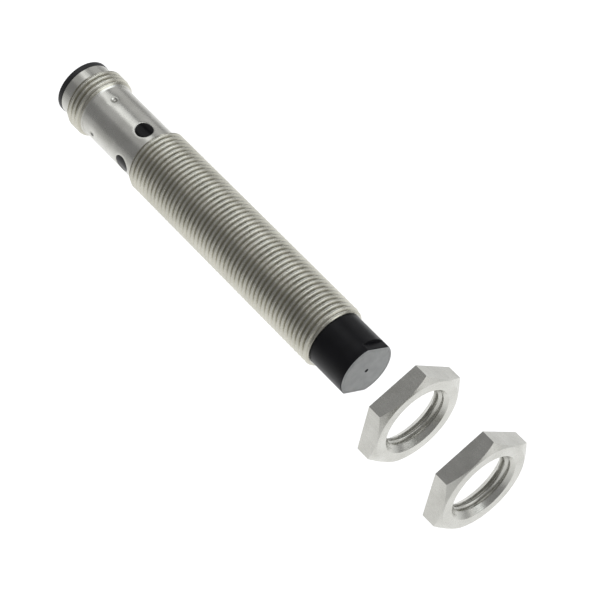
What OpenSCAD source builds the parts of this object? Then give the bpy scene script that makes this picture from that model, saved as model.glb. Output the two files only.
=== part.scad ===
// Cylindrical inductive proximity sensor with a screw-on cable connector and two mounting nuts.
// +X runs along the barrel and out of the sensing face, whose centre is the origin. +Z is up.
// Screw threads are drawn as plain cylinders at their outer diameter.

/* [Barrel] */
// Outer diameter of the mounting thread
thread_d = 12; // [10:0.1:16]
// Length of the threaded barrel
barrel_len = 49; // [40:0.5:80]
// Depth of the plain neck below the thread's crests
neck_step = 0.8; // [0.5:0.05:1]
// Wall of the plain neck
neck_wall = 0.45; // [0.3:0.05:0.8]
// Bevel at the front end of the barrel
front_bevel = 0.5; // [0.3:0.05:0.7]

/* [Sensing head] */
// Length of the head that stands out of the barrel
head_len = 8; // [6:0.1:14]
// Depth of the head's side below the thread's crests
head_step = 0.75; // [0.3:0.05:0.9]
// Size across the two flats at the front of the head
head_af = 9.2; // [8.8:0.1:10.2]
// Length of the head's two flats
head_flat_len = 1.5; // [0.8:0.1:3]
// Turn of the head's two flats about the barrel
head_flat_turn = 58.5; // [0:0.5:90]
// Thickness of the sensing face
face_wall = 0.8; // [0.5:0.05:1.2]
// Bevel round the sensing face
face_bevel = 0.25; // [0.1:0.05:0.5]
// Diameter of the mark in the middle of the face
face_mark_d = 0.6; // [0.4:0.1:1.2]
// Depth of the mark in the middle of the face
face_mark_depth = 0.1; // [0.05:0.05:0.3]
// Length of the skirt inside the barrel
skirt_len = 6; // [3:0.5:12]
// Wall of the skirt
skirt_wall = 0.6; // [0.4:0.05:0.8]

/* [Coil and core] */
// Height of the ferrite pot core
core_h = 3.6; // [3:0.1:5]
// Thickness of the core's floor
core_floor = 1.1; // [0.8:0.1:1.5]
// Wall round the core's winding space
core_rim = 0.75; // [0.5:0.05:1]
// Diameter of the core's centre post
post_d = 3.4; // [2.4:0.1:4.2]
// Wall of the bobbin's hub and flanges
bobbin_wall = 0.25; // [0.15:0.05:0.35]
// Space between the winding and the rim of the core
winding_margin = 0.25; // [0.15:0.05:0.4]
// Diameter of the coil's lead wires
lead_d = 0.3; // [0.2:0.05:0.4]
// Length of lead soldered to the board
lead_lap = 2; // [1:0.5:4]
// Thickness of the resin behind the core
resin_len = 2; // [1:0.5:4]

/* [Circuit board] */
// Thickness of the board
board_t = 0.8; // [0.6:0.1:1.2]
// Space between the board's edges and the skirt
board_margin = 0.23; // [0.2:0.01:0.6]
// From the board's front end to the middle of the oscillator chip
chip_station = 9; // [7:0.5:14]
// Length of the oscillator chip's body
chip_len = 4.9; // [4:0.1:6]
// Width of the oscillator chip's body
chip_w = 3.4; // [3:0.1:4]
// Height of the oscillator chip's body
chip_h = 1.4; // [1:0.1:1.8]
// From the board's front end to the middle of the output transistor
transistor_station = 25; // [20:0.5:30]
// Size of the output transistor along the board, across it and upwards
transistor_size = [4.4, 2.5, 1.5]; // [1:0.1:5]
// From the board's front end to the middle of the tuning capacitor
capacitor_station = 3.6; // [3:0.1:5]
// Size of the tuning capacitor along the board, across it and upwards
capacitor_size = [1.6, 3, 1.2]; // [1:0.1:4]
// Size of a small resistor along the board, across it and upwards
resistor_size = [1, 0.5, 0.35]; // [0.3:0.05:1.6]
// Size of a small capacitor along the board, across it and upwards
small_cap_size = [1.6, 0.8, 0.8]; // [0.3:0.05:1.6]
// Size of a protection diode along the board, across it and upwards
diode_size = [2.6, 1.5, 1.1]; // [0.6:0.1:3]
// Size of an indicator light along the board, across it and upwards
led_size = [1.6, 0.8, 0.6]; // [0.4:0.1:2]

/* [Indicator windows] */
// Diameter of a window
window_d = 3.2; // [2:0.1:3.6]
// From the barrel thread to the middle of the windows
window_setback = 2.5; // [2:0.1:4]
// Number of windows round the neck
window_count = 4; // [2:1:4]
// Depth of a window below the neck's surface
window_recess = 0.12; // [0.05:0.01:0.2]
// Length of the light guide ring
guide_len = 5; // [4:0.1:8]
// Wall of the light guide ring
guide_wall = 0.6; // [0.4:0.05:0.8]
// Space between the light guide and the connector insert
guide_gap = 1; // [0.5:0.1:2]

/* [Connector] */
// Length of the connector thread
conn_thread_len = 4.3; // [4:0.1:10]
// Length of the plain sleeve behind the connector thread
sleeve_len = 1.9; // [0.5:0.1:3]
// Thickness of the insert's rim, outside the sleeve
rim_len = 1.1; // [0.8:0.1:2]
// How far the rim stands out past the sleeve
rim_proud = 0.05; // [0:0.01:0.1]
// Wall round the socket
socket_wall = 0.53; // [0.4:0.01:0.7]
// Depth of the socket from its mouth
socket_depth = 8.5; // [7:0.1:9.5]
// Diameter of a contact pin
pin_d = 1; // [0.8:0.1:1.2]
// Space between a pin and the socket's wall
pin_margin = 0.2; // [0.2:0.05:0.8]
// How far the pins' tips stay inside the mouth
pin_recess = 3; // [1:0.1:4]
// Length of pin behind the insert
pin_tail = 1.8; // [1.4:0.1:2.2]
// Width of the key rib in the socket
key_w = 1; // [0.8:0.1:1.4]
// Height of the key rib
key_h = 0.5; // [0.3:0.05:0.7]
// From the connector thread to the crimp dimples
dimple_setback = 2.6; // [1.5:0.05:4]
// Diameter of a crimp dimple
dimple_d = 1.2; // [0.8:0.1:1.4]
// Depth of a crimp dimple
dimple_depth = 0.3; // [0.2:0.05:0.35]
// From the crimp dimples to the insert's front end
insert_grip = 5.1; // [3.6:0.05:6]
// Thickness of the seal ring's cord
seal_cord = 0.65; // [0.5:0.05:0.7]
// Diameter of a link wire
link_d = 0.4; // [0.3:0.05:0.6]

/* [Mounting nuts] */
// Size across the nut's flats
nut_af = 17; // [15:0.1:24]
// Thickness of a nut
nut_t = 3.5; // [3:0.1:5]
// How far the ring on the nut's bevelled front face stays inside the flats
nut_face_step = 0.2; // [0.1:0.05:0.6]
// Slope of the bevel on the nut's corners
nut_bevel_angle = 30; // [20:1:35]
// Bevel at the mouth of the nut's bore
nut_mouth_bevel = 0.45; // [0.2:0.05:0.8]
// Turn of the nuts' corners about the barrel
nut_turn = -12.5; // [-30:0.5:30]
// From the sensing face to the middle of the rear nut
rear_nut_x = 11; // [6:1:20]
// From the rear nut's middle to the front nut's middle
nut_spacing = 16; // [6:1:30]

/* [Clearances] */
// Radial clearance between a nut and the barrel
nut_fit = 0.05; // [0.02:0.01:0.1]
// Radial clearance between pieces that are fixed one inside the other
fixed_fit = 0.02; // [0.01:0.01:0.05]
// Clearance of the bobbin in the core, of leads in their holes and of the seal and crimps in their grooves
loose_fit = 0.05; // [0.02:0.01:0.1]

/* [Hidden] */
$fn = 96;

// Radii, from the outside in
thread_r = thread_d / 2;
neck_r = thread_r - neck_step;
bore_r = neck_r - neck_wall;
head_r = thread_r - head_step;
skirt_r = bore_r - fixed_fit;
cap_bore_r = skirt_r - skirt_wall;
core_r = cap_bore_r - fixed_fit;
winding_r = core_r - core_rim;
hub_r = post_d / 2 + loose_fit + bobbin_wall;
coil_r = winding_r - winding_margin;
insert_r = bore_r - fixed_fit;
socket_r = insert_r - socket_wall;
pin_count = 4;
pin_circle_r = socket_r - pin_margin - pin_d / 2;
pin_offset = pin_circle_r * cos(45);
seal_floor_r = bore_r - seal_cord;
crimp_r = dimple_d / 2;
crimp_groove_r = neck_r - dimple_depth - crimp_r - loose_fit;

// Stations along X, from the sensing face to the rear
barrel_front = -head_len;
barrel_rear = barrel_front - barrel_len;
window_x = barrel_rear - window_setback;
guide_front = window_x + guide_len / 2;
guide_rear = window_x - guide_len / 2;
insert_front = guide_rear - guide_gap;
dimple_x = insert_front - insert_grip;
neck_rear = dimple_x - dimple_setback;
conn_rear = neck_rear - conn_thread_len;
housing_rear = conn_rear - sleeve_len;
mouth_x = housing_rear - rim_len;
socket_floor = mouth_x + socket_depth;
seal_x = dimple_x + insert_grip / 2;
skirt_rear = barrel_front - skirt_len;
core_front = -face_wall;
core_back = core_front - core_h;
winding_floor = core_back + core_floor;
coil_back = winding_floor + bobbin_wall;
coil_front = core_front - loose_fit - bobbin_wall;
board_front = core_back - resin_len;
board_rear = insert_front + guide_gap / 2;
link_x = insert_front + guide_gap;

// The board and what it carries
board_w = 2 * (cap_bore_r - board_margin);
board_top = board_t / 2;
lead_y = (hub_r + coil_r) / 2;
lead_z = board_top + lead_d / 2;
chip_foot = [0.4, 0.8, 0.25];
chip_feet = 4;
small_pitch = 2.2;
resistor_rows = 3;
small_cap_count = 4;
resistor_station = transistor_station + 6;
small_cap_station = chip_station + 6;
diode_station = transistor_station + 5;
row_y = board_w / 4;

// The nuts
nut_bore_r = thread_r + nut_fit;
nut_corner_r = nut_af / 2 / cos(30);
nut_face_r = nut_af / 2 - nut_face_step;
nut_bevel_len = (nut_corner_r - nut_face_r) * tan(nut_bevel_angle);

// Colours
nickel = [0.72, 0.70, 0.66];
gold = [0.83, 0.66, 0.30];

// A solid of revolution about X from points [x, radius]
module turned(points) {
    rotate([0, 90, 0])
        rotate_extrude()
            polygon([for (p = points) [p[1], p[0]]]);
}

// A round bar along X
module bar(from_x, to_x, r) {
    translate([from_x, 0, 0])
        rotate([0, 90, 0])
            cylinder(h = to_x - from_x, r = r);
}

// A tube along X
module tube(from_x, to_x, r_out, r_in) {
    turned([[from_x, r_in], [to_x, r_in], [to_x, r_out], [from_x, r_out]]);
}

// A box of the given size that stands on the board, or hangs below it with side = -1
module on_board(station, y, size, side = 1) {
    z = side * (board_top + size[2] / 2);
    translate([board_front - station, y, z])
        cube(size, center = true);
}

// Children repeated round X at the windows' angles
module round_the_neck() {
    for (i = [0 : window_count - 1])
        rotate([i * 360 / window_count, 0, 0])
            children();
}

// Threaded barrel, plain neck, connector thread and sleeve, machined in one piece
module housing() {
    dimple_ball_r = (pow(dimple_d / 2, 2) + pow(dimple_depth, 2)) / (2 * dimple_depth);
    color(nickel)
    difference() {
        union() {
            turned([
                [housing_rear, bore_r],
                [housing_rear, neck_r],
                [conn_rear, neck_r],
                [conn_rear + neck_step, thread_r],
                [neck_rear - neck_step, thread_r],
                [neck_rear, neck_r],
                [barrel_rear, neck_r],
                [barrel_rear + neck_step, thread_r],
                [barrel_front - front_bevel, thread_r],
                [barrel_front, thread_r - front_bevel],
                [barrel_front, bore_r]
            ]);
            round_the_neck()
                translate([dimple_x, 0, neck_r - dimple_depth])
                    sphere(r = crimp_r);
        }
        round_the_neck()
            translate([dimple_x, 0, neck_r + dimple_ball_r - dimple_depth])
                sphere(r = dimple_ball_r);
        round_the_neck()
            translate([window_x, 0, 0])
                cylinder(h = thread_d, d = window_d);
    }
}

// Plastic cup that closes the barrel and holds the coil, with two flats at its front
module sensing_cap() {
    past = 1;
    color([0.10, 0.10, 0.11])
    difference() {
        turned([
            [-face_mark_depth, 0],
            [0, face_mark_d / 2],
            [0, head_r - face_bevel],
            [-face_bevel, head_r],
            [barrel_front, head_r],
            [barrel_front, skirt_r],
            [skirt_rear, skirt_r],
            [skirt_rear, cap_bore_r],
            [core_front, cap_bore_r],
            [core_front, 0]
        ]);
        for (side = [0, 180])
            rotate([head_flat_turn + side, 0, 0])
                translate([-head_flat_len, head_af / 2, -thread_r])
                    cube([head_flat_len + past, thread_r, thread_d]);
    }
}

// Pot core, open towards the sensing face
module ferrite_core() {
    color([0.25, 0.24, 0.24])
    difference() {
        turned([
            [core_back, 0],
            [core_back, core_r],
            [core_front, core_r],
            [core_front, winding_r],
            [winding_floor, winding_r],
            [winding_floor, post_d / 2],
            [core_front, post_d / 2],
            [core_front, 0]
        ]);
        lead_holes(core_back, winding_floor);
    }
}

// Two holes for the coil's leads
module lead_holes(from_x, to_x) {
    past = 1;
    for (side = [-1, 1])
        translate([0, side * lead_y, lead_z])
            bar(from_x - past, to_x + past, lead_d / 2 + loose_fit);
}

// Reel that the coil is wound on
module coil_bobbin() {
    flange_r = winding_r - loose_fit;
    inner_r = post_d / 2 + loose_fit;
    color([0.88, 0.86, 0.78])
    difference() {
        turned([
            [winding_floor, inner_r],
            [winding_floor, flange_r],
            [coil_back, flange_r],
            [coil_back, hub_r],
            [coil_front, hub_r],
            [coil_front, flange_r],
            [coil_front + bobbin_wall, flange_r],
            [coil_front + bobbin_wall, inner_r]
        ]);
        lead_slots();
    }
}

// Holes in the bobbin's rear flange only
module lead_slots() {
    for (side = [-1, 1])
        translate([0, side * lead_y, lead_z])
            bar(winding_floor - bobbin_wall, coil_back, lead_d / 2 + loose_fit);
}

// Copper winding
module sensing_coil() {
    color([0.72, 0.42, 0.22])
    tube(coil_back, coil_front, coil_r, hub_r);
}

// Wires from the winding to the board
module coil_leads() {
    color([0.72, 0.42, 0.22])
    for (side = [-1, 1])
        translate([0, side * lead_y, lead_z])
            bar(board_front - lead_lap, coil_back, lead_d / 2);
}

// Resin poured in behind the core
module coil_resin() {
    color([0.30, 0.26, 0.16])
    difference() {
        bar(board_front, core_back, core_r);
        lead_holes(board_front, core_back);
    }
}

// Long narrow board from the head to the connector
module circuit_board() {
    color([0.10, 0.36, 0.20])
    translate([board_rear, -board_w / 2, -board_top])
        cube([board_front - board_rear, board_w, board_t]);
}

// Chip with four feet on each side
module oscillator_chip() {
    foot_pitch = chip_len / chip_feet;
    color([0.13, 0.13, 0.14]) {
        on_board(chip_station, 0, [chip_len, chip_w, chip_h]);
        for (side = [-1, 1])
            for (i = [0 : chip_feet - 1])
                on_board(chip_station + (i - (chip_feet - 1) / 2) * foot_pitch,
                    side * (chip_w + chip_foot[1]) / 2, chip_foot);
    }
}

// Transistor that switches the load
module output_transistor() {
    color([0.15, 0.15, 0.16])
    on_board(transistor_station, 0, transistor_size);
}

// Capacitor that tunes the coil
module tuning_capacitor() {
    color([0.62, 0.50, 0.34])
    on_board(capacitor_station, 0, capacitor_size);
}

// Small resistors in two rows on top of the board
module small_resistors() {
    color([0.20, 0.20, 0.22])
    for (side = [-1, 1])
        for (i = [0 : resistor_rows - 1])
            on_board(resistor_station + i * small_pitch, side * row_y, resistor_size);
}

// Small capacitors in a row below the board
module small_capacitors() {
    color([0.66, 0.56, 0.42])
    for (i = [0 : small_cap_count - 1])
        on_board(small_cap_station + i * small_pitch, row_y, small_cap_size, -1);
}

// Diodes that guard against reversed wires and surges
module protection_diodes() {
    color([0.16, 0.16, 0.17])
    for (side = [-1, 1])
        on_board(diode_station, side * row_y, diode_size, -1);
}

// One light above the board and one below
module indicator_lights() {
    color([0.95, 0.75, 0.20])
    for (side = [-1, 1])
        on_board(board_front - window_x, 0, led_size, side);
}

// Ring that carries the light to the windows in the neck
module light_guide() {
    guide_r = bore_r - fixed_fit;
    inner_r = guide_r - guide_wall;
    color([0.08, 0.08, 0.08])
    difference() {
        union() {
            bar(guide_rear, guide_front, guide_r);
            intersection() {
                round_the_neck()
                    translate([window_x, 0, 0])
                        cylinder(h = thread_r, d = window_d - 2 * fixed_fit);
                bar(guide_rear, guide_front, neck_r - window_recess);
            }
        }
        bar(guide_rear - guide_gap, guide_front + guide_gap, inner_r);
    }
}

// Plastic plug with the socket, the pins' seats and the key
module connector_insert() {
    half_groove = crimp_r + loose_fit;
    half_seal = seal_cord / 2 + loose_fit;
    color([0.09, 0.09, 0.10]) {
        difference() {
            turned([
                [mouth_x, socket_r],
                [mouth_x, neck_r + rim_proud],
                [housing_rear, neck_r + rim_proud],
                [housing_rear, insert_r],
                [dimple_x - half_groove, insert_r],
                [dimple_x - half_groove, crimp_groove_r],
                [dimple_x + half_groove, crimp_groove_r],
                [dimple_x + half_groove, insert_r],
                [seal_x - half_seal, insert_r],
                [seal_x - half_seal, seal_floor_r],
                [seal_x + half_seal, seal_floor_r],
                [seal_x + half_seal, insert_r],
                [insert_front, insert_r],
                [insert_front, 0],
                [socket_floor, 0],
                [socket_floor, socket_r]
            ]);
            for (i = [0 : pin_count - 1])
                at_pin(i)
                    bar(socket_floor - pin_d, insert_front + pin_d, pin_d / 2);
        }
        intersection() {
            translate([mouth_x, -key_w / 2, socket_r - key_h])
                cube([socket_depth, key_w, key_h + socket_wall / 2]);
            bar(mouth_x, socket_floor, socket_r + socket_wall / 2);
        }
    }
}

// Rubber ring between the insert and the neck
module insert_seal() {
    cord_r = seal_cord / 2;
    color([0.12, 0.12, 0.12])
    translate([seal_x, 0, 0])
        rotate([0, 90, 0])
            rotate_extrude()
                translate([bore_r - cord_r, 0])
                    circle(r = cord_r, $fn = 32);
}

// Children moved to the place of pin i
module at_pin(i) {
    angle = 45 + i * 360 / pin_count;
    translate([0, pin_circle_r * cos(angle), pin_circle_r * sin(angle)])
        children();
}

// Contact pin with a bevelled tip
module contact_pin(i) {
    tip_x = mouth_x + pin_recess;
    tip_bevel = pin_d / 4;
    color(gold)
    at_pin(i)
        turned([
            [tip_x, 0],
            [tip_x, pin_d / 2 - tip_bevel],
            [tip_x + tip_bevel, pin_d / 2],
            [insert_front + pin_tail, pin_d / 2],
            [insert_front + pin_tail, 0]
        ]);
}

// Short wires from the pins' tails to both faces of the board
module link_wires() {
    wire_len = pin_offset - pin_d / 2 - board_top;
    color([0.70, 0.70, 0.72])
    for (y_side = [-1, 1])
        for (z_side = [-1, 1])
            translate([link_x, y_side * pin_offset, z_side * (board_top + wire_len / 2)])
                cylinder(h = wire_len, d = link_d, center = true);
}

// Thin hexagon nut, bevelled on its front face and at both mouths
module mounting_nut(middle_x) {
    half = nut_t / 2;
    mouth_r = nut_bore_r + 2 * nut_mouth_bevel;
    far_r = nut_corner_r + nut_fit;
    far_bevel = nut_bevel_len + nut_fit * tan(nut_bevel_angle);
    color(nickel)
    translate([middle_x, 0, 0])
        difference() {
            intersection() {
                rotate([nut_turn, 0, 0])
                    rotate([0, 90, 0])
                        cylinder(h = nut_t, r = nut_corner_r, center = true, $fn = 6);
                turned([
                    [-half, 0],
                    [-half, far_r],
                    [half - far_bevel, far_r],
                    [half, nut_face_r],
                    [half, 0]
                ]);
            }
            turned([
                [-half - nut_mouth_bevel, 0],
                [-half - nut_mouth_bevel, mouth_r],
                [-half + nut_mouth_bevel, nut_bore_r],
                [half - nut_mouth_bevel, nut_bore_r],
                [half + nut_mouth_bevel, mouth_r],
                [half + nut_mouth_bevel, 0]
            ]);
        }
}

module rear_nut() {
    mounting_nut(rear_nut_x);
}

module front_nut() {
    mounting_nut(rear_nut_x + nut_spacing);
}

housing();
sensing_cap();
ferrite_core();
coil_bobbin();
sensing_coil();
coil_leads();
coil_resin();
circuit_board();
oscillator_chip();
output_transistor();
tuning_capacitor();
small_resistors();
small_capacitors();
protection_diodes();
indicator_lights();
light_guide();
connector_insert();
insert_seal();
contact_pin(0);  // contact_pin_1
contact_pin(1);  // contact_pin_2
contact_pin(2);  // contact_pin_3
contact_pin(3);  // contact_pin_4
link_wires();
rear_nut();
front_nut();
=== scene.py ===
import math

import bmesh
import bpy
from mathutils import Matrix, Vector


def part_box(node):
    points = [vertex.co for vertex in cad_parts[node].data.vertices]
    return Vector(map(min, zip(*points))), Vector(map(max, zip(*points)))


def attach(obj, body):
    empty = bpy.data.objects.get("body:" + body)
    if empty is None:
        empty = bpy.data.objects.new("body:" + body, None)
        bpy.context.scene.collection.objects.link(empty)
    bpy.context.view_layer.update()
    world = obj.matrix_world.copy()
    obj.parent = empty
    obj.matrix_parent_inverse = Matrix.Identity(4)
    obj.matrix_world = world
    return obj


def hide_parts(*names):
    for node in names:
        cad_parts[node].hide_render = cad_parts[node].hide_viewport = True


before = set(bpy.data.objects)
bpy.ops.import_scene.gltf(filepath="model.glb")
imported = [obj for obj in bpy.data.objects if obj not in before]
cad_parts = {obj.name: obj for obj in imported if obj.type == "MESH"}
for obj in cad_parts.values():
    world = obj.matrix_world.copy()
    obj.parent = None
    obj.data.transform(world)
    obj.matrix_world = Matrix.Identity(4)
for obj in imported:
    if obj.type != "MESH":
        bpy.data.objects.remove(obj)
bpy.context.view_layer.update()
mm = 0.001  # everything is modelled in millimetres and made metres at the end
fullTurn = 2 * math.pi


def cadSpan(name):
    low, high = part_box(name)
    return low / mm, high / mm


def radiusOf(point):
    return math.hypot(point.y, point.z)


def atRadius(point, x, radius):
    # the same direction round the X axis, at another station and radius
    scale = radius / radiusOf(point)
    return Vector((x, point.y * scale, point.z * scale))


def spreadEdges(bm, edges, place):
    # extrudes a run of edges and puts each new vertex where place() says
    made = bmesh.ops.extrude_edge_only(bm, edges=edges)["geom"]
    fresh = {item for item in made if isinstance(item, bmesh.types.BMVert)}
    for vert in fresh:
        vert.co = place(vert.co)
    return [item for item in made
            if isinstance(item, bmesh.types.BMEdge) and set(item.verts) <= fresh]


def growRing(bm, edges, x, radius):
    return spreadEdges(bm, edges, lambda point: atRadius(point, x, radius))


def openRing(bm, x, nearRadius, reach=0.45):
    # the open loop that stands at x, near a radius
    return [edge for edge in bm.edges if edge.is_boundary
            and all(abs(v.co.x - x) < 1e-3 and abs(radiusOf(v.co) - nearRadius) < reach for v in edge.verts)]


def weld(bm, distance=5e-4):
    bmesh.ops.remove_doubles(bm, verts=bm.verts, dist=distance)


def addTo(target, source):
    # puts one bmesh into another
    carrier = bpy.data.meshes.new("carrier")
    source.to_mesh(carrier)
    source.free()
    target.from_mesh(carrier)
    bpy.data.meshes.remove(carrier)


def turned(points, steps):
    # an outline of (x, radius) points spun about the X axis
    bm = bmesh.new()
    verts = [bm.verts.new((x, 0, radius)) for x, radius in points]
    edges = [bm.edges.new(pair) for pair in zip(verts, verts[1:])]
    bmesh.ops.spin(bm, geom=verts + edges, cent=(0, 0, 0), axis=(1, 0, 0), angle=fullTurn,
                   steps=steps, use_merge=True)
    weld(bm)
    return bm


def copiesRound(bm, count):
    # repeats the whole bmesh round the X axis
    first = bm.verts[:] + bm.edges[:] + bm.faces[:]
    for number in range(1, count):
        copy = bmesh.ops.duplicate(bm, geom=first)["geom"]
        bmesh.ops.rotate(bm, verts=[item for item in copy if isinstance(item, bmesh.types.BMVert)],
                         cent=(0, 0, 0), matrix=Matrix.Rotation(fullTurn * number / count, 3, "X"))
    weld(bm)


def makePiece(name, bm, body, finishes, replaced, sharpAngle=32):
    weld(bm)
    bmesh.ops.recalc_face_normals(bm, faces=bm.faces)
    for face in bm.faces:
        face.smooth = True
    for edge in bm.edges:
        edge.smooth = len(edge.link_faces) != 2 or edge.calc_face_angle() < math.radians(sharpAngle)
    bmesh.ops.scale(bm, vec=(mm, mm, mm), verts=bm.verts)
    mesh = bpy.data.meshes.new(name)
    loose = sum(1 for edge in bm.edges if not edge.is_manifold)
    bm.to_mesh(mesh)
    bm.free()
    for finish in finishes:
        mesh.materials.append(finish)
    piece = bpy.data.objects.new(name, mesh)
    bpy.context.scene.collection.objects.link(piece)
    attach(piece, body)
    if replaced:
        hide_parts(*replaced)
    print("made", name, "with", len(mesh.polygons), "faces,", loose, "open edges")
    return piece


def newFinish(name, colour, roughness, metallic=0.0, **sockets):
    finish = bpy.data.materials.new(name)
    finish.use_nodes = True
    shader = finish.node_tree.nodes["Principled BSDF"]
    shader.inputs["Base Color"].default_value = (*colour, 1)
    shader.inputs["Roughness"].default_value = roughness
    shader.inputs["Metallic"].default_value = metallic
    for socket, value in sockets.items():
        shader.inputs[socket.replace("_", " ")].default_value = value
    return finish


def node(finish, kind, **settings):
    made = finish.node_tree.nodes.new(kind)
    for key, value in settings.items():
        if key in made.inputs:
            made.inputs[key].default_value = value
        else:
            setattr(made, key, value)
    return made


def link(finish, source, target):
    finish.node_tree.links.new(source, target)


def objectPoint(finish, scale=(1, 1, 1)):
    # Object coordinates, stretched so that a pattern can run along or round the barrel
    place = node(finish, "ShaderNodeTexCoord")
    mapping = node(finish, "ShaderNodeMapping", Scale=scale)
    link(finish, place.outputs["Object"], mapping.inputs["Vector"])
    return mapping.outputs["Vector"]


def noise(finish, scale, detail=3, stretch=(1, 1, 1), roughness=0.5):
    made = node(finish, "ShaderNodeTexNoise", Scale=scale, Detail=detail, Roughness=roughness)
    link(finish, objectPoint(finish, stretch), made.inputs["Vector"])
    return made.outputs["Fac"]


def ramp(finish, value, stops):
    made = node(finish, "ShaderNodeValToRGB")
    link(finish, value, made.inputs["Fac"])
    while len(made.color_ramp.elements) < len(stops):
        made.color_ramp.elements.new(0.5)
    for element, (position, colour) in zip(made.color_ramp.elements, stops):
        element.position = position
        element.color = (*colour, 1)
    return made.outputs["Color"]


def spread(finish, value, low, high, fromLow=0.0, fromHigh=1.0):
    made = node(finish, "ShaderNodeMapRange")
    link(finish, value, made.inputs["Value"])
    made.inputs["From Min"].default_value = fromLow
    made.inputs["From Max"].default_value = fromHigh
    made.inputs["To Min"].default_value = low
    made.inputs["To Max"].default_value = high
    return made.outputs["Result"]


def toShader(finish, value, socket):
    link(finish, value, finish.node_tree.nodes["Principled BSDF"].inputs[socket])


def bumps(finish, height, depth, strength=1.0):
    made = node(finish, "ShaderNodeBump", Strength=strength, Distance=depth)
    link(finish, height, made.inputs["Height"])
    toShader(finish, made.outputs["Normal"], "Normal")


def blended(finish, first, second, factor, kind="MULTIPLY"):
    made = node(finish, "ShaderNodeMix", data_type="RGBA", blend_type=kind)
    made.inputs["Factor"].default_value = factor
    link(finish, first, made.inputs[6])
    link(finish, second, made.inputs[7])
    return made.outputs[2]


def distanceFromAxis(finish):
    # how far a point is from the X axis, in metres
    split = node(finish, "ShaderNodeSeparateXYZ")
    link(finish, objectPoint(finish), split.inputs["Vector"])
    flat = node(finish, "ShaderNodeCombineXYZ")
    link(finish, split.outputs["Y"], flat.inputs["Y"])
    link(finish, split.outputs["Z"], flat.inputs["Z"])
    length = node(finish, "ShaderNodeVectorMath", operation="LENGTH")
    link(finish, flat.outputs["Vector"], length.inputs[0])
    return length.outputs["Value"]


# the root, flank and crest shades are painted shade: thread roots darker and warmer than the crests, standing
# in for shade and light bounced between the flanks
nickelLook = {"bright": (0.62, 0.615, 0.575), "dull": (0.53, 0.525, 0.485), "roughness": (0.22, 0.32),
              "crest": 6.0, "root": 5.42, "rootPaintedShade": (0.78, 0.755, 0.68), "flankPaintedShade": (0.97, 0.955, 0.89),
              "crestPaintedShade": (1, 0.99, 0.945), "ringSpacing": 0.21}


def ringWave(finish, spacing):
    # rings round the X axis, as a turning tool leaves them on a face
    turns = node(finish, "ShaderNodeMath", operation="MULTIPLY")
    link(finish, distanceFromAxis(finish), turns.inputs[0])
    turns.inputs[1].default_value = fullTurn / (spacing * mm)
    wave = node(finish, "ShaderNodeMath", operation="SINE")
    link(finish, turns.outputs["Value"], wave.inputs[0])
    return wave.outputs["Value"]


def nickelFinish(name, paintedRootShade):
    look = nickelLook
    finish = newFinish(name, look["bright"], 0.3, metallic=1.0)
    tint = ramp(finish, noise(finish, 260, 4), [(0.3, look["dull"]), (0.62, look["bright"])])
    if paintedRootShade:  # painted shade: thread roots darker and warmer, crests at the base colour, standing in for shade and light bounced between the flanks
        depth = spread(finish, distanceFromAxis(finish), 0, 1, look["root"] * mm, look["crest"] * mm)
        paintedShade = ramp(finish, depth, [(0.0, (1, 1, 1)), (0.02, look["rootPaintedShade"]),
                                     (0.6, look["flankPaintedShade"]), (1.0, look["crestPaintedShade"])])
        tint = blended(finish, tint, paintedShade, 1.0)
        latheMarks = noise(finish, 600, 2, (18, 0.4, 0.4))  # they run round the barrel
        bumps(finish, latheMarks, 0.000012, 0.4)
    else:  # lathe marks are rings on the nut's faces
        bumps(finish, ringWave(finish, look["ringSpacing"]), 0.000006, 0.3)
    toShader(finish, tint, "Base Color")
    toShader(finish, spread(finish, noise(finish, 900, 3), *look["roughness"]), "Roughness")
    return finish


def mouldedFinish(name, dark, light, roughness, grain=2600, depth=0.00001, ior=1.5):
    finish = newFinish(name, dark, roughness[0], IOR=ior)
    toShader(finish, ramp(finish, noise(finish, 420, 5), [(0.35, dark), (0.75, light)]), "Base Color")
    toShader(finish, spread(finish, noise(finish, 1500, 2), *roughness), "Roughness")
    bumps(finish, noise(finish, grain, 4), depth, 0.5)
    return finish


faceLook = {"ringSpacing": 0.3, "roughness": (0.44, 0.56)}


def faceFinish(name, dark, light):
    # the sensing face: paler than the side, with fine turning rings
    finish = newFinish(name, dark, 0.5)
    mottle = ramp(finish, noise(finish, 700, 5), [(0.3, dark), (0.7, light)])
    toShader(finish, mottle, "Base Color")
    rings = ringWave(finish, faceLook["ringSpacing"])
    toShader(finish, spread(finish, rings, *faceLook["roughness"], -1, 1), "Roughness")
    bumps(finish, rings, 0.000005, 0.3)
    return finish


def wireFinish(name, dark, light, roughness=0.25):
    finish = newFinish(name, light, roughness, metallic=1.0)
    toShader(finish, ramp(finish, noise(finish, 700, 3), [(0.3, dark), (0.7, light)]), "Base Color")
    bumps(finish, noise(finish, 1200, 2, (6, 1, 1)), 0.000006, 0.3)
    return finish


def makeFinishes():
    return {
        "barrelNickel": nickelFinish("barrelNickel", True),
        "nutNickel": nickelFinish("nutNickel", False),
        "capPlastic": mouldedFinish("capPlastic", (0.004, 0.004, 0.005), (0.007, 0.007, 0.009), (0.3, 0.4),
                                    ior=1.3),
        "capFace": faceFinish("capFace", (0.30, 0.305, 0.302), (0.37, 0.376, 0.372)),
        "insertPlastic": mouldedFinish("insertPlastic", (0.010, 0.010, 0.011), (0.018, 0.018, 0.02),
                                       (0.38, 0.5)),
        "windowPlastic": mouldedFinish("windowPlastic", (0.003, 0.003, 0.0035), (0.006, 0.006, 0.007),
                                       (0.12, 0.2), 900, 0.000004, ior=1.22),
        "contactGold": wireFinish("contactGold", (0.72, 0.50, 0.19), (0.88, 0.66, 0.30)),
    }


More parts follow.
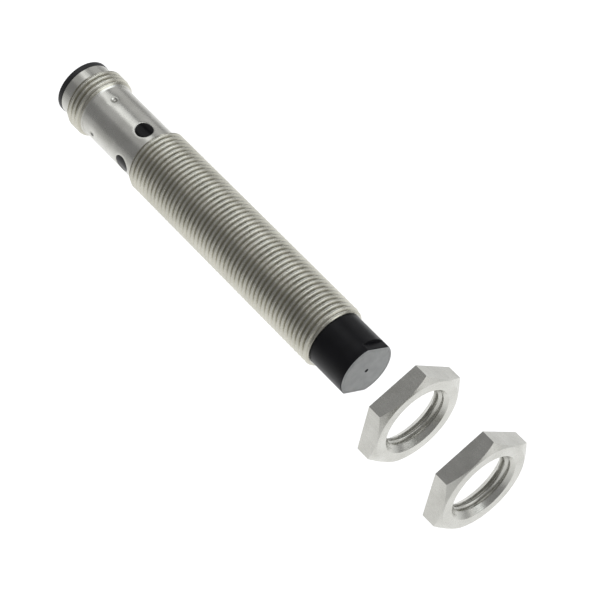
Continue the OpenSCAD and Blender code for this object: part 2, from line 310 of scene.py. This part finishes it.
innerLooks = {  # CAD nodes that stay as they are: dark shade, pale shade, roughness
    "ferrite_core": ((0.030, 0.029, 0.029), (0.055, 0.053, 0.052), (0.55, 0.7)),
    "coil_bobbin": ((0.66, 0.62, 0.50), (0.76, 0.73, 0.62), (0.35, 0.45)),
    "coil_resin": ((0.055, 0.045, 0.020), (0.085, 0.070, 0.032), (0.12, 0.22)),
    "circuit_board": ((0.006, 0.075, 0.026), (0.012, 0.115, 0.042), (0.25, 0.4)),
    "oscillator_chip": ((0.010, 0.010, 0.011), (0.018, 0.018, 0.019), (0.45, 0.6)),
    "output_transistor": ((0.010, 0.010, 0.011), (0.019, 0.019, 0.020), (0.45, 0.6)),
    "tuning_capacitor": ((0.30, 0.20, 0.09), (0.38, 0.26, 0.13), (0.4, 0.5)),
    "small_resistors": ((0.016, 0.016, 0.018), (0.030, 0.030, 0.034), (0.3, 0.45)),
    "small_capacitors": ((0.34, 0.24, 0.12), (0.42, 0.31, 0.17), (0.4, 0.5)),
    "protection_diodes": ((0.012, 0.012, 0.013), (0.021, 0.021, 0.022), (0.45, 0.6)),
    "indicator_lights": ((0.75, 0.52, 0.05), (0.86, 0.66, 0.12), (0.1, 0.2)),
    "insert_seal": ((0.010, 0.010, 0.010), (0.020, 0.020, 0.019), (0.6, 0.75)),
}
wireLooks = {
    "sensing_coil": ((0.50, 0.20, 0.08), (0.66, 0.30, 0.13)),
    "coil_leads": ((0.52, 0.22, 0.09), (0.68, 0.32, 0.14)),
    "link_wires": ((0.52, 0.52, 0.54), (0.66, 0.66, 0.68)),
}


def dressInnerParts():
    # the parts inside the barrel keep their CAD shapes and get real finishes
    looks = {name: mouldedFinish(name + "Look", *look) for name, look in innerLooks.items()}
    looks.update({name: wireFinish(name + "Look", *look) for name, look in wireLooks.items()})
    for name, finish in looks.items():
        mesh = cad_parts[name].data
        mesh.materials.clear()
        mesh.materials.append(finish)
    print("dressed", len(looks), "inner parts")


finishes = makeFinishes()
dressInnerParts()

# crests and roots are rounded: a short flat, then an eased shoulder, then the flank
threadForm = {"pitch": 1.0, "steps": 72, "flankAngle": 30, "crestHalf": 0.04, "flatShare": 0.6,
              "flatDrop": 0.004, "ease": 0.1, "easeDrop": 0.09, "shoulderShare": 0.32}


def threadOutline(crest, root, crestHalf, middle):
    # one pitch of the outline, from the middle of one root to the next, as (x, radius)
    form = threadForm
    slope = math.tan(math.radians(form["flankAngle"]))
    side = 1 if crest > root else -1
    flank = (abs(crest - root) - 2 * form["easeDrop"]) * slope
    nearCrest = crestHalf + form["ease"]
    nearRoot = nearCrest + flank
    ease, drop, share = form["ease"], side * form["easeDrop"], form["shoulderShare"]
    flatDrop = side * form["flatDrop"]
    half = [(0, crest), (crestHalf * form["flatShare"], crest - flatDrop),
            (crestHalf + ease * 0.5, crest - drop * share), (nearCrest, crest - drop),
            (nearRoot, root + drop), (nearRoot + ease * 0.5, root + drop * share),
            (nearRoot + ease, root + flatDrop), (form["pitch"] / 2, root)]
    before = [(middle - x, radius) for x, radius in reversed(half)]
    return before + [(middle + x, radius) for x, radius in half[1:]]


def screwThread(start, end, crest, root, crestHalf, stations, limit):
    # a helical skin from start to end; limit(x, radius) trims it near its ends
    pitch, steps = threadForm["pitch"], threadForm["steps"]
    bm = bmesh.new()
    first = math.floor(start) - 2
    verts = [bm.verts.new((x, 0, radius)) for x, radius in threadOutline(crest, root, crestHalf, first)]
    edges = [bm.edges.new(pair) for pair in zip(verts, verts[1:])]
    bmesh.ops.spin(bm, geom=verts + edges, cent=(0, 0, 0), axis=(1, 0, 0), dvec=(pitch / steps, 0, 0),
                   angle=fullTurn, steps=steps, use_merge=False)
    firstTurn = bm.verts[:] + bm.edges[:] + bm.faces[:]
    for turn in range(1, math.ceil(end - first) + 2):
        copy = bmesh.ops.duplicate(bm, geom=firstTurn)["geom"]
        bmesh.ops.translate(bm, verts=[item for item in copy if isinstance(item, bmesh.types.BMVert)],
                            vec=(turn * pitch, 0, 0))
    weld(bm, 1e-3)
    for x, away in ((start, -1), (end, 1)):
        bmesh.ops.bisect_plane(bm, geom=bm.verts[:] + bm.edges[:] + bm.faces[:], plane_co=(x, 0, 0),
                               plane_no=(away, 0, 0), clear_outer=True)
    for x in stations:
        bmesh.ops.bisect_plane(bm, geom=bm.verts[:] + bm.edges[:] + bm.faces[:], plane_co=(x, 0, 0),
                               plane_no=(1, 0, 0))
    for vert in bm.verts:
        radius = radiusOf(vert.co)
        wanted = limit(vert.co.x, radius)
        if wanted != radius:
            vert.co = atRadius(vert.co, vert.co.x, wanted)
    return bm


# the housing: barrel thread, neck with windows and dimples, connector thread, sleeve
housing = {"root": 5.39, "neckStep": 0.8, "frontBevel": 0.5, "barrelLen": 49.0, "connectorLen": 4.3,
           "sleeveLen": 1.9, "joint": 0.15, "window": 1.6, "windowRim": 0.12, "dimpleX": -68.1,
           "holeSegments": 48, "frameCorner": math.radians(30),
           "dimpleCup": [(0.14, -0.34), (0.27, -0.32), (0.38, -0.26), (0.47, -0.17), (0.54, -0.09),
                         (0.6, -0.062), (0.7, -0.052), (0.95, -0.034), (1.25, -0.014), (1.6, 0)]}


def onFrame(angle, halfArc, rear, front):
    # where a spoke meets the panel's outline; points stand evenly along each side
    corner = housing["frameCorner"]
    quarter = math.acos(min(1, abs(math.cos(angle))))
    if quarter <= corner:
        arc, along = 1.0, quarter / corner
    else:
        arc, along = (math.pi / 2 - quarter) / (math.pi / 2 - corner), 1.0
    arc = math.copysign(arc * halfArc, math.cos(angle)) if abs(math.cos(angle)) > 1e-6 else 0.0
    along = along * (front if math.sin(angle) > 0 else -rear) if abs(math.sin(angle)) > 1e-6 else 0.0
    return arc, along


def roundPanel(rings, rear, front, radius, middleX, capped=False, tiers=4):
    # a quarter of a tube with a round hole, boss or dimple in it, made flat and then wrapped.
    # rings are (distance from the hole's middle, height above the surface)
    bm = bmesh.new()
    bmesh.ops.create_circle(bm, cap_ends=capped, segments=housing["holeSegments"], radius=rings[0][0])
    for vert in bm.verts:
        vert.co.z = rings[0][1]
    if capped:
        bmesh.ops.poke(bm, faces=bm.faces[:])
    edges = [edge for edge in bm.edges if len(edge.link_faces) < 2]
    for size, height in rings[1:]:
        edges = spreadEdges(bm, edges, lambda point: Vector((point.x, point.y, 0)).normalized() * size
                            + Vector((0, 0, height)))
    halfArc = radius * math.pi / 4
    last = {vert for edge in edges for vert in edge.verts}
    spreadEdges(bm, edges, lambda point: Vector(
        (*onFrame(math.atan2(point.y, point.x), halfArc, rear, front), 0)))
    spokes = [edge for vert in last for edge in vert.link_edges
              if edge.other_vert(vert) not in last and edge.other_vert(vert).is_boundary]
    spokes = [edge for edge in spokes if not edge.is_boundary]
    bmesh.ops.subdivide_edges(bm, edges=list(set(spokes)), cuts=tiers, use_grid_fill=False)
    for vert in bm.verts:
        angle, out = vert.co.x / radius, radius + vert.co.z
        vert.co = Vector((middleX + vert.co.y, out * math.sin(angle), out * math.cos(angle)))
    return bm


def bridgeAt(bm, x, reach, radius, near=0.2):
    # joins the open loop at x to the one that stands reach further along
    bmesh.ops.bridge_loops(bm, edges=openRing(bm, x, radius, near) + openRing(bm, x + reach, radius, near))


def windowPanel(neck, bore, half, joint, windowX):
    # a quarter of the neck with its window hole: outer skin with a bevelled rim, then the bore's skin
    hole, rim = housing["window"], housing["windowRim"]
    panel = roundPanel([(hole, -0.25), (hole, -0.13), (hole + 0.03, -0.06), (hole + 0.08, -0.015),
                        (hole + rim, 0)], half, half - joint, neck, windowX)
    addTo(panel, roundPanel([(hole, 0)], half, half - joint, bore, windowX, tiers=2))
    rims = [edge for edge in panel.edges if edge.is_boundary
            and all(math.hypot(v.co.x - windowX, v.co.y) < hole + 0.05 for v in edge.verts)]
    bmesh.ops.bridge_loops(panel, edges=rims)
    return panel


def dimplePanel(rear, front, neck):
    # a quarter of the neck with a crimp dimple in a wide shallow dent
    return roundPanel(housing["dimpleCup"], rear, front, neck, housing["dimpleX"], capped=True)


def makeHousing():
    h = housing
    low, high = cadSpan("housing")
    guideLow, guideHigh = cadSpan("light_guide")
    crest, step, joint = high.z, h["neckStep"], h["joint"]
    neck = crest - step
    bore = cadSpan("insert_seal")[1].z
    barrelFront, barrelRear = high.x, high.x - h["barrelLen"]
    sleeveRear, connRear = low.x, low.x + h["sleeveLen"]
    neckRear = connRear + h["connectorLen"]
    windowX, half = (guideLow.x + guideHigh.x) / 2, (guideHigh.x - guideLow.x) / 2

    def barrelLimit(x, radius):
        return min(radius, neck + (x - barrelRear), crest - h["frontBevel"] + (barrelFront - x))

    def connLimit(x, radius):
        return min(radius, neck + (neckRear - x), neck + (x - connRear))

    cuts = [0.09, 0.2, 0.3, 0.4, 0.5, 0.6, step]
    bm = screwThread(barrelRear, barrelFront, crest, h["root"], threadForm["crestHalf"],
                     [barrelRear + c for c in cuts] + [barrelFront - c for c in cuts[:5]], barrelLimit)
    addTo(bm, screwThread(connRear, neckRear, crest, h["root"], threadForm["crestHalf"],
                          [connRear + c for c in cuts] + [neckRear - c for c in cuts], connLimit))
    windows = windowPanel(neck, bore, half, joint, windowX)
    copiesRound(windows, 4)
    addTo(bm, windows)
    seam = windowX - half
    dimples = dimplePanel(h["dimpleX"] - neckRear - joint, seam - h["dimpleX"], neck)
    copiesRound(dimples, 4)
    addTo(bm, dimples)
    weld(bm)

    # close the skins: thread to neck, neck to connector thread, sleeve, and the bore inside
    bridgeAt(bm, barrelRear, -joint, neck)
    bridgeAt(bm, neckRear, joint, neck)
    ring = growRing(bm, openRing(bm, connRear, neck, 0.2), connRear - 0.06, neck)
    ring = growRing(bm, ring, sleeveRear + 0.08, neck)
    ring = growRing(bm, ring, sleeveRear, neck - 0.08)
    growRing(bm, ring, sleeveRear, bore + 0.1)
    growRing(bm, openRing(bm, seam, bore), sleeveRear, bore)
    bmesh.ops.bridge_loops(bm, edges=openRing(bm, sleeveRear, bore + 0.05, 0.2))
    growRing(bm, openRing(bm, barrelFront, crest - h["frontBevel"]), barrelFront, bore + 0.1)
    growRing(bm, openRing(bm, barrelRear - joint, bore, 0.1), barrelFront, bore)
    bmesh.ops.bridge_loops(bm, edges=openRing(bm, barrelFront, bore + 0.05, 0.2))
    makePiece("barrelHousing", bm, "sensor_body", [finishes["barrelNickel"]], ["housing"])


makeHousing()


# the sensing head: a plastic cup with two flats at its front and a mark in its face
head = {"bevel": 0.25, "skirtWall": 0.6, "fit": 0.02, "faceWall": 0.8, "steps": 180, "flatHalf": 4.6,
        "flatLen": 1.5, "flatTurn": 58.5, "grooveIn": 0.62, "grooveOut": 0.46, "grooveDepth": 0.05,
        "mark": 0.36, "markDepth": 0.1}


def arcPoints(middleX, middleRadius, size, fromAngle, toAngle, count):
    # points on an arc in the outline's plane; angle 0 points to +X, 90 outwards
    angles = [math.radians(fromAngle + (toAngle - fromAngle) * i / count) for i in range(count + 1)]
    return [(middleX + size * math.cos(a), middleRadius + size * math.sin(a)) for a in angles]


def flatShare(point, outer):
    # how much of the full radius the head's two flats leave in the direction of a point
    turn = math.atan2(point.z, point.y) - math.radians(head["flatTurn"])
    return min(1, head["flatHalf"] / outer / max(abs(math.cos(turn)), 0.1))


def makeHead():
    h = head
    low, high = cadSpan("sensing_cap")
    face, outer, rear, flangeRear = high.x, high.z, low.x, cadSpan("housing")[1].x
    skirt = cadSpan("insert_seal")[1].z - h["fit"]
    bore, shoulder = skirt - h["skirtWall"], face - h["flatLen"]
    groove = face - h["grooveDepth"]
    outline = [(face - h["markDepth"], 0), (face - h["markDepth"], h["mark"] - 0.06), (face, h["mark"]),
               (face, outer * 0.6), (face, outer - h["grooveIn"]), (groove, outer - h["grooveIn"] + 0.04),
               (groove, outer - h["grooveOut"] - 0.04), (face, outer - h["grooveOut"])]
    outline += arcPoints(face - h["bevel"], outer - h["bevel"], h["bevel"], 0, 90, 5)
    outline += [(shoulder + 0.03, outer), (shoulder - 0.03, outer), (flangeRear + 0.08, outer),
                (flangeRear, outer - 0.08), (flangeRear, skirt), (rear + 0.1, skirt), (rear, skirt - 0.1),
                (rear, bore), (face - h["faceWall"], bore), (face - h["faceWall"], 0)]
    bm = turned(outline, h["steps"])
    for vert in bm.verts:
        radius = radiusOf(vert.co)
        if vert.co.x > shoulder and radius > outer - h["grooveIn"] - 0.01:
            vert.co = atRadius(vert.co, vert.co.x, radius * flatShare(vert.co, outer))
    # the centre mark's recess keeps the dark side plastic while the rest of the face takes the paler face
    # finish: painted shade in the recess
    for item in bm.faces:
        middle = item.calc_center_median()
        onFace = middle.x > groove - 0.01 and radiusOf(middle) > h["mark"] and abs(item.normal.x) > 0.3
        item.material_index = 1 if onFace else 0
    makePiece("sensingHead", bm, "sensor_body", [finishes["capPlastic"], finishes["capFace"]],
              ["sensing_cap"], 26)


makeHead()


# the light windows: one ring with four lenses
lightRing = {"fit": 0.02, "wall": 0.6, "lens": 1.57, "lensSoft": 0.05}


def makeWindows():
    low, high = cadSpan("light_guide")
    middle, half = (low.x + high.x) / 2, (high.x - low.x) / 2
    radius = cadSpan("insert_seal")[1].z - lightRing["fit"]
    rise = high.z - radius
    lens, soft = lightRing["lens"], lightRing["lensSoft"]
    rings = [(lens * share, rise) for share in (0.25, 0.5, 0.75, 0.93)]
    rings += [(lens - soft * 0.3, rise - soft * 0.3), (lens, rise - soft), (lens, 0)]
    bm = roundPanel(rings, half, half, radius, middle, capped=True, tiers=2)
    copiesRound(bm, 4)
    inner = radius - lightRing["wall"]
    ring = growRing(bm, openRing(bm, high.x, radius), high.x, inner)
    growRing(bm, ring, low.x, inner)
    growRing(bm, openRing(bm, low.x, radius, 0.05), low.x, inner)
    makePiece("lightWindows", bm, "sensor_body", [finishes["windowPlastic"]],
              ["light_guide"])


makeWindows()


# the connector: a moulded insert with its socket and key, and four pins
insert = {"fit": 0.02, "socketWall": 0.53, "socketDepth": 8.5, "rimRound": 0.28, "ribs": 72, "ribDepth": 0.02,
          "crimpHalf": 0.65, "crimpFloor": 4.25, "sealHalf": 0.375, "keyWidth": 1.0, "keyHeight": 0.5,
          "pinRadius": 0.5}


def makeInsert():
    low, high = cadSpan("connector_insert")
    sealLow, sealHigh = cadSpan("insert_seal")
    mouth, front, rim = low.x, high.x, high.z
    shoulder, floor = cadSpan("housing")[0].x, mouth + insert["socketDepth"]
    body = sealHigh.z - insert["fit"]
    socket = body - insert["socketWall"]
    crimp, crimpHalf, crimpFloor = housing["dimpleX"], insert["crimpHalf"], insert["crimpFloor"]
    seal, sealHalf = (sealLow.x + sealHigh.x) / 2, insert["sealHalf"]
    sealFloor = sealHigh.z - (sealHigh.x - sealLow.x)
    soft = insert["rimRound"]
    outline = [(floor, 0), (floor, socket - 0.15), (floor - 0.15, socket), (mouth + 0.3, socket),
               (mouth, socket + 0.22)]
    outline += arcPoints(mouth + soft, rim - soft, soft, 180, 90, 6)
    outline += [(shoulder - 0.1, rim), (shoulder, rim - 0.06), (shoulder, body),
                (crimp - crimpHalf, body), (crimp - crimpHalf, crimpFloor),
                (crimp + crimpHalf, crimpFloor), (crimp + crimpHalf, body),
                (seal - sealHalf, body), (seal - sealHalf, sealFloor), (seal + sealHalf, sealFloor),
                (seal + sealHalf, body), (front - 0.2, body), (front, body - 0.2), (front, 0)]
    bm = turned(outline, insert["ribs"] * 4)
    for vert in bm.verts:  # faint ribs round the rim
        radius = radiusOf(vert.co)
        if vert.co.x < shoulder - 0.02 and radius > rim - 0.08:
            turn = math.atan2(vert.co.z, vert.co.y) * insert["ribs"]
            vert.co = atRadius(vert.co, vert.co.x, radius - insert["ribDepth"] * (0.5 - 0.5 * math.cos(turn)))
    makePiece("connectorInsert", bm, "sensor_body", [finishes["insertPlastic"]],
              ["connector_insert"])
    makeKey(mouth, socket)


def makeKey(mouth, socket):
    length, tall, sunk = insert["socketDepth"] - 0.35, insert["keyHeight"], 0.12
    bm = bmesh.new()
    bmesh.ops.create_cube(bm, size=1)
    bmesh.ops.scale(bm, vec=(length, insert["keyWidth"], tall + sunk), verts=bm.verts)
    bmesh.ops.translate(bm, verts=bm.verts, vec=(mouth + 0.35 + length / 2, 0, socket - tall / 2 + sunk / 2))
    bmesh.ops.bevel(bm, geom=bm.edges[:], offset=0.12, offset_type="OFFSET", affect="EDGES", segments=3,
                    profile=0.5, material=-1)
    makePiece("socketKey", bm, "sensor_body", [finishes["insertPlastic"]], [])


def makePins():
    size = insert["pinRadius"]
    for number in range(1, 5):
        name = "contact_pin_%d" % number
        low, high = cadSpan(name)
        outline = [(low.x, 0), (low.x, 0.1)] + arcPoints(low.x + 0.28, 0.22, 0.28, 160, 90, 4)
        outline += [(high.x - 0.1, size), (high.x, size - 0.1), (high.x, 0)]
        bm = turned(outline, 32)
        bmesh.ops.translate(bm, verts=bm.verts, vec=(0, (low.y + high.y) / 2, (low.z + high.z) / 2))
        makePiece("contactPin%d" % number, bm, "sensor_body", [finishes["contactGold"]],
                  [name])


makeInsert()
makePins()


# the mounting nuts, bevelled on the front face only; their threads fit the barrel's only where
# the travel is a whole number of pitches, because the nuts slide without turning
nut = {"afHalf": 8.5, "ring": 8.3, "bevelAngle": 30, "bore": 6.06, "minor": 5.46, "crestHalf": 0.05,
       "mouth": 6.5, "mouthCuts": [0.1, 0.2, 0.3, 0.4, 0.5], "turn": -12.5, "cornerSoft": 0.12,
       "steps": 96}


def hexRadius(point):
    # distance from the axis to the hexagon's side, in the direction of a point
    angle = math.degrees(math.atan2(point.z, point.y)) - nut["turn"]
    fromFlat = math.radians((angle + 30) % 60 - 30)
    return nut["afHalf"] / math.cos(fromFlat)


def makeNut(pieceName, cadName):
    low, high = cadSpan(cadName)
    middle, half = round((low.x + high.x) / 2, 3), (high.x - low.x) / 2
    slope = math.tan(math.radians(nut["bevelAngle"]))

    def mouthLimit(x, radius):
        return max(radius, nut["mouth"] - (half - abs(x - middle)))

    def onFlats(point, x):
        return atRadius(point, x, hexRadius(point))

    bm = screwThread(middle - half, middle + half, nut["bore"], nut["minor"], nut["crestHalf"],
                     [middle + side * (half - c) for c in nut["mouthCuts"] for side in (-1, 1)],
                     mouthLimit)
    outside = bmesh.new()
    bmesh.ops.create_circle(outside, cap_ends=False, segments=nut["steps"], radius=nut["ring"])
    bmesh.ops.rotate(outside, verts=outside.verts, cent=(0, 0, 0),
                     matrix=Matrix.Rotation(math.radians(nut["turn"]), 3, "Z"))
    for vert in outside.verts:
        vert.co = Vector((middle + half, vert.co.x, vert.co.y))
    ring = spreadEdges(outside, outside.edges[:], lambda point: onFlats(
        point, middle + half - (hexRadius(point) - nut["ring"]) * slope))
    spreadEdges(outside, ring, lambda point: onFlats(point, middle - half))
    corners = [edge for edge in outside.edges if len(edge.link_faces) == 2
               and abs(edge.verts[0].co.x - edge.verts[1].co.x) > 0.5 and edge.calc_face_angle() > 0.6]
    bmesh.ops.bevel(outside, geom=corners, offset=nut["cornerSoft"], offset_type="OFFSET", affect="EDGES",
                    segments=3, profile=0.5, material=-1)
    addTo(bm, outside)
    for side, rim, reach in ((1, nut["ring"], 0.1), (-1, nut["afHalf"] + 0.6, 0.8)):
        x = middle + side * half
        bmesh.ops.triangle_fill(bm, use_beauty=True, use_dissolve=False, normal=(side, 0, 0),
                                edges=openRing(bm, x, nut["mouth"], 0.1) + openRing(bm, x, rim, reach))
    makePiece(pieceName, bm, cadName, [finishes["nutNickel"]], [cadName], 20)


makeNut("rearNut", "rear_nut")
makeNut("frontNut", "front_nut")


# floor, lights and camera
studio = {"floorDrop": 85 * mm, "floorSize": 6.0, "glow": 0.66, "dimGlow": 0.25, "glowReach": (0.11, 0.28),
          "glowMiddle": (-0.069, 0.041), "worldGrey": 0.26,
          "target": Vector((-17.65, 0.418, 0.2)) * mm, "distance": 443 * mm, "lens": 162.9,
          "towardsCamera": Vector((0.4772, -0.3784, 0.7931))}


def makeFloor():
    bm = bmesh.new()
    bmesh.ops.create_grid(bm, x_segments=1, y_segments=1, size=studio["floorSize"] / 2)
    bmesh.ops.translate(bm, verts=bm.verts, vec=(0, 0, -studio["floorDrop"]))
    mesh = bpy.data.meshes.new("floor")
    bm.to_mesh(mesh)
    bm.free()
    floor = bpy.data.objects.new("floor", mesh)
    bpy.context.scene.collection.objects.link(floor)
    glowingPaper = newFinish("floorPaperGlow", (0.82, 0.82, 0.82), 0.7)
    place = node(glowingPaper, "ShaderNodeTexCoord")
    away = node(glowingPaper, "ShaderNodeVectorMath", operation="DISTANCE")
    away.inputs[1].default_value = (*studio["glowMiddle"], -studio["floorDrop"])
    link(glowingPaper, place.outputs["Object"], away.inputs[0])
    # painted light: the floor glows, brightest round the sensor and fading outwards, a pool of light that
    # also washes out the shadow beneath the sensor
    glow = spread(glowingPaper, away.outputs["Value"], studio["glow"], studio["dimGlow"], *studio["glowReach"])
    toShader(glowingPaper, glow, "Emission Strength")
    glowingPaper.node_tree.nodes["Principled BSDF"].inputs["Emission Color"].default_value = (1, 1, 1, 1)
    mesh.materials.append(glowingPaper)


# soft boxes: place, point they face, size, radiance, tint; in metres
lightBoxes = {
    "topBox": ((-0.215, 0.062, 0.24), (-0.215, 0.05, 0), (0.20, 0.13), 0.9, (0.97, 0.99, 1)),
    "wideBox": ((-0.23, -0.06, 0.245), (-0.23, -0.06, 0), (0.20, 0.24), 0.28, (1, 1, 1)),
    "sideBox": ((-0.3, 0.75, 0.35), (-0.03, 0, 0), (1.1, 0.55), 0.38, (1, 1, 1)),
    "windowBox": ((0.36, 0.36, 0.42), (-0.03, 0, 0), (0.6, 0.45), 1.7, (0.93, 0.97, 1)),
    "overBox": ((0.27, -0.04, 0.5), (0.27, -0.04, 0), (0.42, 0.42), 0.85, (1, 1, 1)),
    "frontBox": ((0.75, 0.5, 0.08), (0, 0, 0), (0.5, 0.3), 0.9, (1, 1, 1)),
}


def makeLight(name, place, aim, size, radiance, tint):
    lamp = bpy.data.lights.new(name, "AREA")
    lamp.shape = "RECTANGLE"
    lamp.size, lamp.size_y = size
    lamp.energy = radiance * math.pi * size[0] * size[1]
    lamp.color = tint
    light = bpy.data.objects.new(name, lamp)
    light.location = place
    light.rotation_euler = (Vector(place) - Vector(aim)).to_track_quat("Z", "Y").to_euler()
    bpy.context.scene.collection.objects.link(light)


def makeStudio():
    makeFloor()
    for name, box in lightBoxes.items():
        makeLight(name, *box)
    world = bpy.data.worlds.new("studioWorld")
    world.use_nodes = True
    grey = studio["worldGrey"]
    world.node_tree.nodes["Background"].inputs["Color"].default_value = (grey, grey, grey * 1.02, 1)
    bpy.context.scene.world = world
    lens = bpy.data.cameras.new("camera")
    lens.lens = studio["lens"]
    lens.clip_start = 0.01
    camera = bpy.data.objects.new("camera", lens)
    camera.location = studio["target"] + studio["towardsCamera"].normalized() * studio["distance"]
    camera.rotation_euler = studio["towardsCamera"].to_track_quat("Z", "Y").to_euler()
    bpy.context.scene.collection.objects.link(camera)
    bpy.context.scene.camera = camera
    bpy.context.scene.view_settings.view_transform = "Standard"


makeStudio()
print("studio ready")
